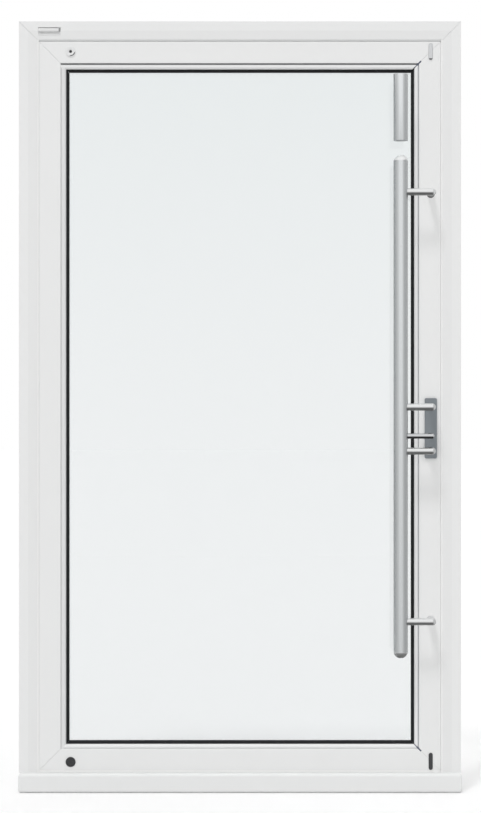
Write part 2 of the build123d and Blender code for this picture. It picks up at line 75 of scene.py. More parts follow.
class Finish:
    def __init__(self, name, tree=None):
        if tree is None:
            self.material = bpy.data.materials.new(name)
            self.material.use_nodes = True
            tree = self.material.node_tree
        self.tree = tree
        self.tree.nodes.clear()

    def node(self, kind, settings=None, sockets=None, out=0):
        made = self.tree.nodes.new(kind)
        for key, value in (settings or {}).items():
            setattr(made, key, value)
        for key, value in (sockets or {}).items():
            if isinstance(value, Tone):
                self.tree.links.new(value.socket, made.inputs[key])
            else:
                made.inputs[key].default_value = value
        return Tone(self, made.outputs[out]) if made.outputs else made

    def reckon(self, operation, first, second):
        return self.node("ShaderNodeMath", {"operation": operation}, {0: first, 1: second})

    def place(self, stretch=(1, 1, 1)):
        spot = self.node("ShaderNodeTexCoord", out="Object")
        return self.node(
            "ShaderNodeVectorMath", {"operation": "MULTIPLY"}, {0: spot, 1: Vector(stretch)}
        )

    def speckle(self, size, stretch=(1, 1, 1), detail=2.0):
        return self.node(
            "ShaderNodeTexNoise",
            None,
            {"Vector": self.place(stretch), "Scale": 1 / size, "Detail": detail},
        )

    def between(self, share, low, high):
        return self.node(
            "ShaderNodeMix",
            {"data_type": "RGBA"},
            {0: share, 6: (*low, 1), 7: (*high, 1)},
            out=2,
        )

    def bumps(self, height, depth):
        return self.node(
            "ShaderNodeBump", None, {"Height": height, "Distance": depth, "Strength": 1.0}
        )

    def surface(self, **sockets):
        named = {
            key.replace("_", " ").title().replace("Ior", "IOR"): value
            for key, value in sockets.items()
        }
        made = self.node("ShaderNodeBsdfPrincipled", None, named)
        self.node("ShaderNodeOutputMaterial", None, {"Surface": made})
        return self.material


def powder_coat(name, shade, painted_slope_shade=None):
    peel_size, peel_depth, cloud_size = 1.4 * mm, 0.02 * mm, 420 * mm
    darkest, lightest, shade_strength = 0.95, 1.02, 0.45
    coat = Finish(name)
    peel = coat.speckle(peel_size)
    cloud = coat.speckle(cloud_size, detail=3.0)
    # painted shade: the colour darkens where the given mask is set
    shade_and_dull = painted_slope_shade(coat) * shade_strength if painted_slope_shade else 0
    low = [part * darkest for part in shade]
    high = [part * lightest for part in shade]
    return coat.surface(
        base_color=coat.between(0.5 + cloud * 0.45 - shade_and_dull, low, high),
        roughness=0.36 + peel * 0.1,
        normal=coat.bumps(peel, peel_depth),
    )


def dress(material, *nodes):
    for node in nodes:
        slots = frame["nodes"][node].data.materials
        slots.clear()
        slots.append(material)


sill_white = powder_coat("sill_white", (0.790, 0.797, 0.794))
dress(sill_white, "threshold")

# Jambs and head: three mitred lengths of the same frame profile, a flat outer band and a slight
# slope in towards the leaf. White powder coat with painted shade on the slope; the jambs stand
# on the sill.
half_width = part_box("right_jamb")[1].x
frame_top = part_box("head")[1].z
face_band = 26 * mm


# painted shade mask: one on the sloping inner band of the frame, nought on the flat outer band
def slope_shade_mask(coat):
    spot = coat.node("ShaderNodeTexCoord", out="Object")
    across = coat.node("ShaderNodeSeparateXYZ", None, {0: spot}, out="X")
    height = coat.node("ShaderNodeSeparateXYZ", None, {0: spot}, out="Z")
    across = coat.reckon("ABSOLUTE", across, 0)
    inward = coat.reckon("MINIMUM", half_width - across, frame_top - height)
    return coat.reckon("GREATER_THAN", inward, face_band)


frame_white = powder_coat("frame_white", (0.799, 0.803, 0.801), slope_shade_mask)
dress(frame_white, "left_jamb", "right_jamb", "head")

# Pile seals: brushed strips pushed into the frame, filling the running gaps round the leaf. Their
# fibres, pale at the jambs and greyer at the head for painted shade, end about half a millimetre
# short of the leaf, so it turns without rubbing.
jamb_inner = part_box("right_jamb")[0].x
head_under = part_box("head")[0].z
sill_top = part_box("threshold")[1].z
leaf_low, leaf_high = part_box("lock_stile")
pivot_x = frame["joints"][0]["pos_m"][0]
pivot_inset, running_gap = 89 * mm, 5 * mm
leaf_left = pivot_x - pivot_inset
seal_front, head_seal_front, seal_thick = -38.6 * mm, -37.4 * mm, 5 * mm
head_reach, lock_reach, pivot_reach = 4.4 * mm, 5.5 * mm, 4.6 * mm
tuft_pitch, tuft_fill, pivot_tufts = 3 * mm, 0.97, 700


def seal_fibre(name, shade):
    fibre_size, fibre_depth, darkest = 0.7 * mm, 0.25 * mm, 0.88
    pile = Finish(name)
    fibre = pile.speckle(fibre_size, detail=4.0)
    low = [part * darkest for part in shade]
    return pile.surface(
        base_color=pile.between(fibre, low, shade),
        roughness=0.85 + fibre * 0.1,
        normal=pile.bumps(fibre, fibre_depth),
    )


def add_piece(name, parts, material, body, smooth=False):
    mesh = bpy.data.meshes.new(name)
    parts.to_mesh(mesh)
    parts.free()
    for face in mesh.polygons:
        face.use_smooth = smooth
    mesh.materials.append(material)
    piece = bpy.data.objects.new(name, mesh)
    bpy.context.scene.collection.objects.link(piece)
    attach(piece, body)
    return piece


def prism(parts, corners, start, end):
    rows = [[parts.verts.new(Vector(point) + shift) for point in corners] for shift in (start, end)]
    parts.faces.new(rows[0][::-1])
    parts.faces.new(rows[1])
    for number in range(len(corners)):
        following = (number + 1) % len(corners)
        parts.faces.new((rows[0][number], rows[0][following], rows[1][following], rows[1][number]))


def tufts(parts, root, tip, run_start, run_end):
    uneven, tip_ease = 0.04, 0.06
    rng = random.Random(7)
    root, run_start = Vector(root), Vector(run_start)
    depth = Vector((0, seal_thick, 0))
    along = Vector(run_end) - run_start
    count = int(along.length / tuft_pitch)
    step = along / count
    for number in range(count):
        start = run_start + step * number
        trim = 1 - uneven * rng.random()
        reach = (Vector(tip) - root) * trim
        nose = depth * (uneven * rng.random())
        corners = [
            root + nose,
            root + reach + nose + depth * tip_ease,
            root + reach + depth * (1 - tip_ease),
            root + depth,
        ]
        prism(parts, corners, start, start + step * tuft_fill)


pale_pile = seal_fibre("pale_pile", (0.90, 0.90, 0.895))
# the head seal is greyer than the jamb seals: painted shade under the head
head_pile_painted_shade = seal_fibre("head_pile_painted_shade", (0.735, 0.745, 0.745))

parts = bmesh.new()
tufts(
    parts,
    (0, head_seal_front, head_under),
    (0, head_seal_front, head_under - head_reach),
    (-jamb_inner, 0, 0),
    (jamb_inner, 0, 0),
)
add_piece("head_pile_seal", parts, head_pile_painted_shade, "frame")

parts = bmesh.new()
tufts(
    parts,
    (jamb_inner, seal_front, 0),
    (jamb_inner - lock_reach, seal_front, 0),
    (0, 0, sill_top),
    (0, 0, head_under),
)
add_piece("lock_jamb_pile_seal", parts, pale_pile, "frame")

parts = bmesh.new()
jamb_radius = math.hypot(pivot_inset, leaf_low.y) + running_gap
arc, arc_steps = [], 3
for radius, steps in (
    (jamb_radius, range(arc_steps + 1)),
    (jamb_radius - pivot_reach, range(arc_steps, -1, -1)),
):
    for step in steps:
        y = seal_front + seal_thick * step / arc_steps
        arc.append((pivot_x - math.sqrt(radius * radius - y * y), y, 0))
rise = (head_under - sill_top) / pivot_tufts
for number in range(pivot_tufts):
    start = Vector((0, 0, sill_top + rise * number))
    prism(parts, arc, start, start + Vector((0, 0, rise * tuft_fill)))
add_piece("pivot_jamb_pile_seal", parts, pale_pile, "frame")

# Bottom sweep: white lip seal under the bottom rail. It fills the rail's rounded lower arris,
# lies flush with the face and stops just above the sill.
leaf_face = leaf_low.y
sweep_thick, sweep_lift, sweep_short = 5 * mm, 0.3 * mm, 0.4 * mm
arris, arris_steps = 2 * mm, 6
sweep_foot, sweep_back = sill_top + sweep_lift, leaf_face + sweep_thick
sweep = [(0, leaf_face, sweep_foot), (0, sweep_back, sweep_foot), (0, sweep_back, leaf_low.z)]
for step in range(arris_steps + 1):
    turn = math.radians(90 - 90 * step / arris_steps)
    sweep.append(
        (
            0,
            leaf_face + arris - arris * math.cos(turn),
            leaf_low.z + arris - arris * math.sin(turn),
        )
    )
sweep_left, sweep_right = leaf_left + sweep_short, leaf_high.x - sweep_short
parts = bmesh.new()
prism(parts, sweep, Vector((sweep_left, 0, 0)), Vector((sweep_right, 0, 0)))
add_piece("bottom_sweep", parts, pale_pile, "leaf")

# Head cover cap: a small white moulded rib pressed into a pocket in the head, with a reveal over
# it and at its right end. Below it the pocket runs out to the face in a ramp.
cap_white = powder_coat("cap_white", (0.745, 0.750, 0.748))
dress(cap_white, "head_cover_cap")

# Painted shade in the pocket: a thin grey sheet lies on the ramp under the cover cap, and a darker
# one on the pocket's floor at the cap's right end; a white lip stands between the sheet and the
# cap.
cap_low, cap_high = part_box("head_cover_cap")
frame_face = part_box("head")[0].y
ramp_tall, ramp_deep, end_reveal, play = 11 * mm, 5.5 * mm, 5 * mm, 0.2 * mm
pocket_right = cap_high.x + end_reveal
ramp_shade_thick, ramp_shade_edge, ramp_shade_drop = 0.3 * mm, 0.1 * mm, 0.3 * mm
ramp_shade_top, ramp_shade_bend, ramp_shade_foot = 0.4, 0.7, 0.97


def add_prism(name, corners, start, end, material, body):
    parts = bmesh.new()
    prism(parts, corners, start, end)
    bmesh.ops.recalc_face_normals(parts, faces=parts.faces)
    add_piece(name, parts, material, body)


# painted shade: a grey sheet on the ramp under the cap
ramp_painted_shade = powder_coat("ramp_painted_shade", (0.655, 0.66, 0.66))
ramp = []
for share, lift in (
    (ramp_shade_top, 0),
    (ramp_shade_top, ramp_shade_thick),
    (ramp_shade_bend, ramp_shade_thick),
    (ramp_shade_foot, ramp_shade_edge),
    (ramp_shade_foot, 0),
):
    y = frame_face + ramp_deep * (1 - share) - lift
    ramp.append((0, y, cap_low.z - ramp_tall * share - ramp_shade_drop))
ramp_left = Vector((cap_low.x, 0, 0))
ramp_shade_right = Vector((pocket_right - play, 0, 0))
add_prism("cap_ramp_painted_shade", ramp, ramp_left, ramp_shade_right, ramp_painted_shade, "frame")

lip_outline = [(0.3, 0.25), (5.0, 0.25), (3.8, 2.8), (0.9, 2.5)]
lip = [(0, frame_face + deep * mm, cap_low.z - drop * mm) for deep, drop in lip_outline]
lip_right = Vector((cap_high.x - play, 0, 0))
add_prism("cap_lower_lip", lip, ramp_left, lip_right, cap_white, "frame")

# painted shade: a darker grey sheet on the pocket floor at the cap's right end
end_painted_shade = powder_coat("end_painted_shade", (0.54, 0.545, 0.55))
end_thick, end_waist, waist_in = 3.0 * mm, 2.4 * mm, 2.4 * mm
floor_play, end_rise = 0.05 * mm, 2.2 * mm
pocket_floor = cap_high.y
end_left, end_right = cap_high.x + play, pocket_right - play
end = [
    (end_left, pocket_floor - end_thick, 0),
    (cap_high.x + waist_in, pocket_floor - end_waist, 0),
    (end_right, pocket_floor - end_thick, 0),
    (end_right, pocket_floor - floor_play, 0),
    (end_left, pocket_floor - floor_play, 0),
]
end_low = Vector((0, 0, cap_low.z))
end_high = Vector((0, 0, cap_high.z + end_rise))
add_prism("cap_end_painted_shade", end, end_low, end_high, end_painted_shade, "frame")

# Pivot bearings: steel plates let into head and sill, each with the pin or spindle that the leaf
# turns on. Their screws are sunk nearly flush, so the bottom sweep passes over those in the sill.
plate_screw, plate_screw_out, sunk = 4.5 * mm, 36 * mm, 0.65 * mm


def brushed_metal(name, shade, along, roughness, streak=0.04, rim=1.0, painted_underside=None):
    grain_length, grain_cross, grain_depth = 160 * mm, 400.0, 0.01 * mm
    cloud_size, level = 240 * mm, -0.05
    metal = Finish(name)
    stretch = [1.0 if part else grain_cross for part in along]
    grain = metal.speckle(grain_length, stretch, detail=4.0)
    cloud = metal.speckle(cloud_size)
    low = [part * (1 - streak) for part in shade]
    high = [part * (1 + streak * 0.5) for part in shade]
    tone = metal.between(grain * 0.7 + cloud * 0.3, low, high)
    rough = roughness + (grain - 0.5) * 0.08
    # painted shade: base colour darkens and roughness changes on surfaces that face down
    if painted_underside:
        share, shade_and_dull, full = painted_underside
        aspect = metal.node("ShaderNodeNewGeometry", out="Normal")
        tilt = metal.node("ShaderNodeSeparateXYZ", None, {0: aspect}, out="Z")
        lit = metal.node("ShaderNodeMapRange", None, {0: tilt, 1: full, 2: level})
        shaded = (*[part * share for part in shade], 1)
        tone = metal.node(
            "ShaderNodeMix", {"data_type": "RGBA"}, {0: lit, 6: shaded, 7: tone}, out=2
        )
        rough = shade_and_dull + lit * (rough - shade_and_dull)
    return metal.surface(
        base_color=tone,
        metallic=1.0,
        specular_tint=(rim, rim, rim, 1),
        roughness=rough,
        normal=metal.bumps(grain, grain_depth),
    )


pivot_steel = brushed_metal("pivot_steel", (0.56, 0.56, 0.57), (1, 0, 0), 0.3)
dress(pivot_steel, "top_pivot_bearing", "floor_pivot_bearing")


def screw_head(parts, seat, axis, radius):
    axis = Vector(axis)
    side = axis.orthogonal().normalized()
    other = axis.cross(side)
    steps = 36
    rings = []
    for reach, rise, key in (
        (radius, 0.0, False),
        (radius * 0.94, 0.3 * mm, False),
        (radius * 0.72, 0.7 * mm, False),
        (radius * 0.46, 0.8 * mm, True),
        (radius * 0.44, 0.1 * mm, True),
    ):
        ring = []
        for step in range(steps):
            turn = math.tau * step / steps
            flat = math.cos((turn + math.pi / 6) % (math.pi / 3) - math.pi / 6) if key else 1
            spoke = side * math.cos(turn) + other * math.sin(turn)
            ring.append(parts.verts.new(Vector(seat) + spoke * (reach / flat) + axis * rise))
        rings.append(ring)
    for low, high in zip(rings, rings[1:]):
        for step in range(steps):
            after = (step + 1) % steps
            parts.faces.new((low[step], low[after], high[after], high[step]))
    parts.faces.new(rings[-1])


screw_steel = brushed_metal("screw_steel", (0.50, 0.50, 0.51), (0, 0, 1), 0.3)
parts = bmesh.new()
for shift in (-plate_screw_out, plate_screw_out):
    screw_head(parts, (pivot_x + shift, 0, head_under + sunk), (0, 0, -1), plate_screw)
    screw_head(parts, (pivot_x + shift, 0, sill_top - sunk), (0, 0, 1), plate_screw)
add_piece("pivot_plate_screws", parts, screw_steel, "frame")

# Strike plate: a flat stainless plate let into the lock jamb, cut out for latch and bolt. A screw
# near each end holds it to the jamb.
plate_steel = brushed_metal("plate_steel", (0.62, 0.62, 0.63), (0, 0, 1), 0.3)
dress(plate_steel, "strike_plate")
lock_screw, lock_screw_end = 4 * mm, 11 * mm
strike_low, strike_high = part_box("strike_plate")
parts = bmesh.new()
for height in (strike_low.z + lock_screw_end, strike_high.z - lock_screw_end):
    screw_head(parts, (strike_low.x, 0, height), (-1, 0, 0), lock_screw)
add_piece("strike_screws", parts, screw_steel, "frame")

# Stiles and rails: the leaf's four mitred lengths. The pivot stile's edge is an arc about the
# pivot axis; the lock stile is pocketed for the lock. White powder coat as the frame.
leaf_white = powder_coat("leaf_white", (0.800, 0.804, 0.802))
dress(leaf_white, "pivot_stile", "lock_stile", "top_rail", "bottom_rail")

# Pivot shoes: steel blocks let into the top and bottom rails, bored for the top pin and the floor
# spindle. They are of the same steel as the bearings and turn with the leaf.
dress(pivot_steel, "top_pivot_shoe", "bottom_pivot_shoe")

# Double glazing: two clear float panes with a faint green-grey body, its tint deepening towards
# the top as painted shade, and between their edges a mill-finish aluminium spacer.


def float_glass(name):
    pale_height, deep_height = 0.35, 2.0
    glass = Finish(name)
    spot = glass.node("ShaderNodeTexCoord", out="Object")
    height = glass.node("ShaderNodeSeparateXYZ", None, {0: spot}, out="Z")
    # painted shade: the tint deepens with height
    rise = glass.node("ShaderNodeMapRange", None, {0: height, 1: pale_height, 2: deep_height})
    return glass.surface(
        base_color=glass.between(rise * rise, (0.927, 0.937, 0.940), (0.895, 0.9135, 0.916)),
        roughness=0.0,
        transmission_weight=1.0,
        ior=1.45,
    )


clear_glass = float_glass("clear_glass")
dress(clear_glass, "outer_pane", "inner_pane")
for pane in ("outer_pane", "inner_pane"):
    frame["nodes"][pane].visible_shadow = False
spacer_metal = brushed_metal("spacer_metal", (0.55, 0.56, 0.56), (0, 0, 1), 0.4)
dress(spacer_metal, "pane_spacer")

# Gaskets: black extruded rubber pressed in between bead and glass, outside and inside. The sloping
# lip shows all round the panes.


def rubber(name, shade):
    skin_size, skin_depth, lightest = 2.5 * mm, 0.03 * mm, 1.7
    gum = Finish(name)
    skin = gum.speckle(skin_size, detail=3.0)
    high = [part * lightest for part in shade]
    return gum.surface(
        base_color=gum.between(skin, shade, high),
        roughness=0.55 + skin * 0.15,
        specular_ior_level=0.3,
        normal=gum.bumps(skin, skin_depth),
    )


black_rubber = rubber("black_rubber", (0.007, 0.008, 0.009))
dress(black_rubber, "outer_gasket", "inner_gasket")
frame["nodes"]["outer_gasket"].visible_glossy = False

# Glazing beads: snap-in aluminium lengths with a quarter-round nose outside and a chamfer
# inside, coated with the leaf, the pivot-side bead greyer for painted shade. Butted at the pivot
# side, open mitres at the lock side.
bead_white = powder_coat("bead_white", (0.795, 0.800, 0.800))
dress(bead_white, "top_bead", "bottom_bead", "lock_bead", "inside_beads")
# the pivot-side bead is coated greyer than the others: painted shade
dress(powder_coat("pivot_bead_painted_shade", (0.725, 0.732, 0.732)), "pivot_bead")

# Painted shade in the bead grooves: thin dark strips laid in the grooves behind the top bead and
# the lock bead, the top one darker, where they show as a thin line.
opening_top, opening_right, opening_low = 2.0430, 0.5020, 0.1195
top_shade_left, top_shade_short, lock_shade_short = -0.5026, 5.4 * mm, 4 * mm
# painted shade: dark strips in the bead grooves, darkest in the top one
top_groove_painted_shade = rubber("top_groove_painted_shade", (0.135, 0.138, 0.142))
lock_groove_painted_shade = rubber("lock_groove_painted_shade", (0.31, 0.32, 0.34))

shade_strip_outline = [(-30.9, -0.2), (-34.6, -0.2), (-35.0, -1.2), (-34.6, -3.0), (-30.9, -3.0)]
shade_strip = [(0, y * mm, opening_top + z * mm) for y, z in shade_strip_outline]
shade_strip_start = Vector((top_shade_left, 0, 0))
shade_strip_end = Vector((opening_right - top_shade_short, 0, 0))
add_prism("top_groove_shade_strip", shade_strip, shade_strip_start, shade_strip_end, top_groove_painted_shade, "leaf")

shade_strip_outline = [(-0.1, -32.9), (-0.1, -35.0), (-0.7, -35.3), (-1.35, -35.0), (-1.35, -32.9)]
shade_strip = [(opening_right + x * mm, y * mm, 0) for x, y in shade_strip_outline]
shade_strip_start = Vector((0, 0, opening_low + lock_shade_short))
shade_strip_end = Vector((0, 0, opening_top - lock_shade_short))
add_prism("lock_groove_shade_strip", shade_strip, shade_strip_start, shade_strip_end, lock_groove_painted_shade, "leaf")

# Corner sealant: a dark bead of sealant run into the two open mitres at the lock side and drawn
# a few millimetres on to the leaf.
sealant_width, smear_y = 4.2 * mm, leaf_face - 0.1 * mm
sealant_path = (
    (12.6 * mm, -29.4 * mm),
    (9.6 * mm, -34.9 * mm),
    (5.0 * mm, -36.1 * mm),
    (1.6 * mm, -36.1 * mm),
    (0.0, smear_y),
    (-6.0 * mm, smear_y),
)


def sealant_run(parts, points, width):
    back = Vector((0, 1.2 * mm, 0))
    crown = Vector((0, -0.25 * mm, 0))
    rows = []
    for number, point in enumerate(points):
        before = Vector(points[max(number - 1, 0)])
        after = Vector(points[min(number + 1, len(points) - 1)])
        along = after - before
        across = Vector((along.z, 0, -along.x)).normalized() * (width / 2)
        middle = Vector(point)
        row = [
            middle + across + back,
            middle + across,
            middle + across * 0.5 + crown * 0.8,
            middle + crown,
            middle - across * 0.5 + crown * 0.8,
            middle - across,
            middle - across + back,
        ]
        rows.append([parts.verts.new(corner) for corner in row])
    for first, second in zip(rows, rows[1:]):
        for number in range(len(first)):
            following = (number + 1) % len(first)
            parts.faces.new((first[number], first[following], second[following], second[number]))
    parts.faces.new(rows[0][::-1])
    parts.faces.new(rows[-1])


sealant = rubber("mitre_sealant", (0.075, 0.082, 0.115))
for name, edge, way in (
    ("top_corner_sealant", opening_top, -1),
    ("low_corner_sealant", opening_low, 1),
):
    points = [(opening_right - inward, y, edge + inward * way) for inward, y in sealant_path]
    parts = bmesh.new()
    sealant_run(parts, points, sealant_width)
    bmesh.ops.recalc_face_normals(parts, faces=parts.faces)
    add_piece(name, parts, sealant, "leaf")

# Pivot covers: the upper is a white cap with a dark plug and a painted shadow, a grey crescent near
# its rim at the lower right; the lower a charcoal moulding; both are clipped to the face over the
# pivot axis.
cap_radius, cap_ease, disc_radius, disc_ease = 13.5 * mm, 0.6 * mm, 14 * mm, 1.0 * mm


def moulded_plastic(name, shade):
    grain_size, grain_depth, lightest = 0.9 * mm, 0.04 * mm, 1.25
    plastic = Finish(name)
    grain = plastic.speckle(grain_size, detail=3.0)
    high = [part * lightest for part in shade]
    return plastic.surface(
        base_color=plastic.between(grain, shade, high),
        roughness=0.45 + grain * 0.15,
        normal=plastic.bumps(grain, grain_depth),
    )


charcoal = moulded_plastic("charcoal", (0.032, 0.033, 0.035))
pivot_cap_white = powder_coat("pivot_cap_white", (0.750, 0.756, 0.756))
dress(pivot_cap_white, "top_pivot_cover")
dress(charcoal, "bottom_pivot_cover")


def lathe(parts, foot, axis, runs, steps=48):
    axis = Vector(axis)
    side = axis.orthogonal().normalized()
    other = axis.cross(side)
    for run in runs:
        rings = []
        for along, radius in run:
            ring = []
            for step in range(steps if radius > 0 else 1):
                turn = math.tau * step / steps
                spoke = side * math.cos(turn) + other * math.sin(turn)
                ring.append(parts.verts.new(Vector(foot) + axis * along + spoke * radius))
            rings.append(ring)
        for low, high in zip(rings, rings[1:]):
            for step in range(steps):
                after = (step + 1) % steps
                corners = [low[step % len(low)], low[after % len(low)]]
                corners += [high[after % len(high)], high[step % len(high)]]
                parts.faces.new(list(dict.fromkeys(corners)))


def eased(along, radius, ease):
    steps = 5
    curve = []
    for step in range(steps + 1):
        turn = math.radians(90 * step / steps)
        curve.append((along - ease * (1 - math.sin(turn)), radius - ease * (1 - math.cos(turn))))
    return curve


cover_low, cover_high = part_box("top_pivot_cover")
cover_z = (cover_low.z + cover_high.z) / 2
cap_proud = cover_high.y - cover_low.y
parts = bmesh.new()
cap = [(0, cap_radius)] + eased(cap_proud, cap_radius, cap_ease)
cap += [(cap_proud, 4.5 * mm), (cap_proud - 0.3 * mm, 4.2 * mm)]
cap += [(0.7 * mm, 4.1 * mm), (0.7 * mm, 0)]
lathe(parts, (pivot_x, leaf_face, cover_z), (0, -1, 0), [cap])
upper_cap = add_piece("upper_pivot_cap", parts, pivot_cap_white, "leaf", smooth=True)
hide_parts("top_pivot_cover")

parts = bmesh.new()
plug = [(0.6 * mm, 4.0 * mm), (2.4 * mm, 4.0 * mm), (2.6 * mm, 3.7 * mm), (2.6 * mm, 2.2 * mm)]
plug += [(1.6 * mm, 1.9 * mm), (1.6 * mm, 0)]
lathe(parts, (pivot_x, leaf_face, cover_z), (0, -1, 0), [plug])
add_piece("upper_cap_plug", parts, charcoal, "leaf")

# painted shadow: a grey crescent at the upper cap's lower right
shadow_reach, shadow_wide, shadow_steps = 12.8 * mm, 2.7 * mm, 24
shadow_from, shadow_sweep = -106, 100
shadow_proud, shadow_deep = 0.06 * mm, 0.3 * mm
outer_side, inner_side = [], []
for step in range(shadow_steps + 1):
    share = step / shadow_steps
    turn = math.radians(shadow_from + shadow_sweep * share)
    wide = shadow_wide * min(1, 5 * share + 0.2, 5 * (1 - share) + 0.5)
    for side, reach in ((outer_side, shadow_reach), (inner_side, shadow_reach - wide)):
        side.append((pivot_x + reach * math.cos(turn), 0, cover_z + reach * math.sin(turn)))
cap_shadow = outer_side + inner_side[::-1]
painted_cap_shadow = moulded_plastic("painted_cap_shadow", (0.135, 0.135, 0.14))
shadow_front = Vector((0, leaf_face - cap_proud - shadow_proud, 0))
shadow_back = Vector((0, leaf_face - cap_proud + shadow_deep, 0))
add_prism("upper_cap_painted_shadow", cap_shadow, shadow_front, shadow_back, painted_cap_shadow, "leaf")

disc_low, disc_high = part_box("bottom_pivot_cover")
disc_z = (disc_low.z + disc_high.z) / 2
disc_proud = disc_high.y - disc_low.y
parts = bmesh.new()
disc = [(0, disc_radius)] + eased(disc_proud, disc_radius, disc_ease)
disc += [(disc_proud, 11.4 * mm), (disc_proud - 0.5 * mm, 11.0 * mm)]
disc += [(disc_proud - 0.5 * mm, 9.4 * mm), (disc_proud, 9.0 * mm)]
disc += [(disc_proud, 4.6 * mm), (disc_proud - 0.9 * mm, 3.8 * mm), (disc_proud - 0.9 * mm, 0)]
lathe(parts, (pivot_x, leaf_face, disc_z), (0, -1, 0), [disc])
lower_disc = add_piece("lower_pivot_disc", parts, charcoal, "leaf")
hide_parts("bottom_pivot_cover")

# Bolt covers: slim moulded strips with round ends and a crowned face, let into the leaf over the
# top and bottom bolts. The upper one is light grey with painted shade, a dark patch, at its lower
# end.
bolt_grey = moulded_plastic("bolt_grey", (0.55, 0.56, 0.57))
bolt_black = moulded_plastic("bolt_black", (0.042, 0.043, 0.046))
bolt_shade_inset, bolt_shade_proud, bolt_shade_deep = 0.5 * mm, 0.1 * mm, 1 * mm


def strip_outline(low, high, inset):
    half_turn = 12
    middle = (low.x + high.x) / 2
    radius = (high.x - low.x) / 2
    corners = []
    for centre, start in ((high.z - radius, 0), (low.z + radius, 180)):
        for step in range(half_turn + 1):
            turn = math.radians(start + 180 * step / half_turn)
            reach = radius - inset
            corners.append((middle + reach * math.cos(turn), centre + reach * math.sin(turn)))
    return corners


def crowned_strip(parts, low, high):
    rows = []
    for inset, y in (
        (0.1 * mm, high.y),
        (0.1 * mm, low.y + 1.2 * mm),
        (0.5 * mm, low.y + 0.5 * mm),
        (1.3 * mm, low.y + 0.12 * mm),
        (2.6 * mm, low.y),
    ):
        corners = strip_outline(low, high, inset)
        rows.append([parts.verts.new((x, y, z)) for x, z in corners])
    for first, second in zip(rows, rows[1:]):
        for number in range(len(first)):
            after = (number + 1) % len(first)
            parts.faces.new((first[number], first[after], second[after], second[number]))
    parts.faces.new(rows[-1])
    bmesh.ops.recalc_face_normals(parts, faces=parts.faces)


for name, node, material, slot in (
    ("upper_bolt_strip", "top_bolt_cover", bolt_grey, "bolt_grey"),
    ("lower_bolt_strip", "low_bolt_cover", bolt_black, "dark_plastic"),
):
    parts = bmesh.new()
    crowned_strip(parts, *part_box(node))
    strip = add_piece(name, parts, material, "leaf", smooth=True)
    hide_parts(node)
bolt_low, bolt_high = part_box("top_bolt_cover")
bolt_shade_low = bolt_low + Vector((bolt_shade_inset, -bolt_shade_proud, bolt_shade_inset))
bolt_shade_high = Vector((bolt_high.x - bolt_shade_inset, bolt_low.y + bolt_shade_deep, bolt_high.z))
corners = strip_outline(bolt_shade_low, bolt_shade_high, 0)
bolt_shade = [(x, 0, z) for x, z in corners[len(corners) // 2 :]]
# painted shade: a dark patch at the upper strip's lower end
bolt_end_painted_shade = moulded_plastic("bolt_end_painted_shade", (0.14, 0.14, 0.145))
bolt_shade_front, bolt_shade_back = Vector((0, bolt_shade_low.y, 0)), Vector((0, bolt_shade_high.y, 0))
add_prism("upper_bolt_painted_shade", bolt_shade, bolt_shade_front, bolt_shade_back, bolt_end_painted_shade, "leaf")

# Lock in the edge: a stainless faceplate let into the lock stile's edge, with the latch and bolt
# drawn back behind it. A screw near each end holds it.
dress(plate_steel, "lock_faceplate", "lock_bolts")
edge_low, edge_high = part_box("lock_faceplate")
parts = bmesh.new()
for height in (edge_low.z + lock_screw_end, edge_high.z - lock_screw_end):
    screw_head(parts, (edge_high.x, 0, height), (1, 0, 0), lock_screw)
add_piece("faceplate_screws", parts, screw_steel, "leaf")

# Lock plates: grey satin-coated plates on both faces of the lock stile. The one inside shows its
# two screws, the one outside none.
plate_grey = powder_coat("plate_grey", (0.192, 0.213, 0.230))
dress(plate_grey, "lock_escutcheon", "inside_plate")
frame["nodes"]["lock_escutcheon"].visible_glossy = False
plate_screw_end = 14 * mm
plate_low, plate_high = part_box("inside_plate")
plate_x = (plate_low.x + plate_high.x) / 2
parts = bmesh.new()
for height in (plate_low.z + plate_screw_end, plate_high.z - plate_screw_end):
    screw_head(parts, (plate_x, plate_high.y, height), (0, 1, 0), lock_screw)
add_piece("inside_plate_screws", parts, screw_steel, "leaf")

# Pull bar: stainless tube, satin ground along its length, with turned end caps pressed in. The
# caps run down from the tube's full width to a small flat end without a step.
bar_steel = brushed_metal("bar_steel", (0.785, 0.81, 0.82), (0, 0, 1), 0.26, streak=0.02, rim=0.4)
dress(bar_steel, "pull_bar")
bar_low, bar_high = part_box("pull_bar")
caps_low, caps_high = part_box("pull_bar_caps")
bar_x = (bar_low.x + bar_high.x) / 2
bar_y = (bar_low.y + bar_high.y) / 2
bar_radius = (bar_high.x - bar_low.x) / 2
# the caps carry painted shade on the surfaces that face down
cap_steel = brushed_metal(
    "cap_steel", (0.88, 0.89, 0.89), (0, 0, 1), 0.30, painted_underside=(0.5, 0.62, -0.75)
)
cap_end, cap_arris, cap_fullness, cap_steps = 9 * mm, 0.5 * mm, 1.8, 16
bar_sides = 72
parts = bmesh.new()
for foot, tip, way in ((bar_high.z, caps_high.z, 1), (bar_low.z, caps_low.z, -1)):
    tall = abs(tip - foot)
    turned = []
    for step in range(cap_steps + 1):
        share = step / cap_steps
        drop = (bar_radius - cap_end) * share**cap_fullness
        turned.append(((tall - cap_arris) * share, bar_radius - drop))
    rim = [turned[-1], (tall, cap_end - cap_arris)]
    flat_end = [rim[1], (tall, 0)]
    lathe(parts, (bar_x, bar_y, foot), (0, 0, way), [turned, rim, flat_end], bar_sides)
bmesh.ops.recalc_face_normals(parts, faces=parts.faces)
turned_caps = add_piece("turned_bar_caps", parts, cap_steel, "leaf", smooth=True)
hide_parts("pull_bar_caps")

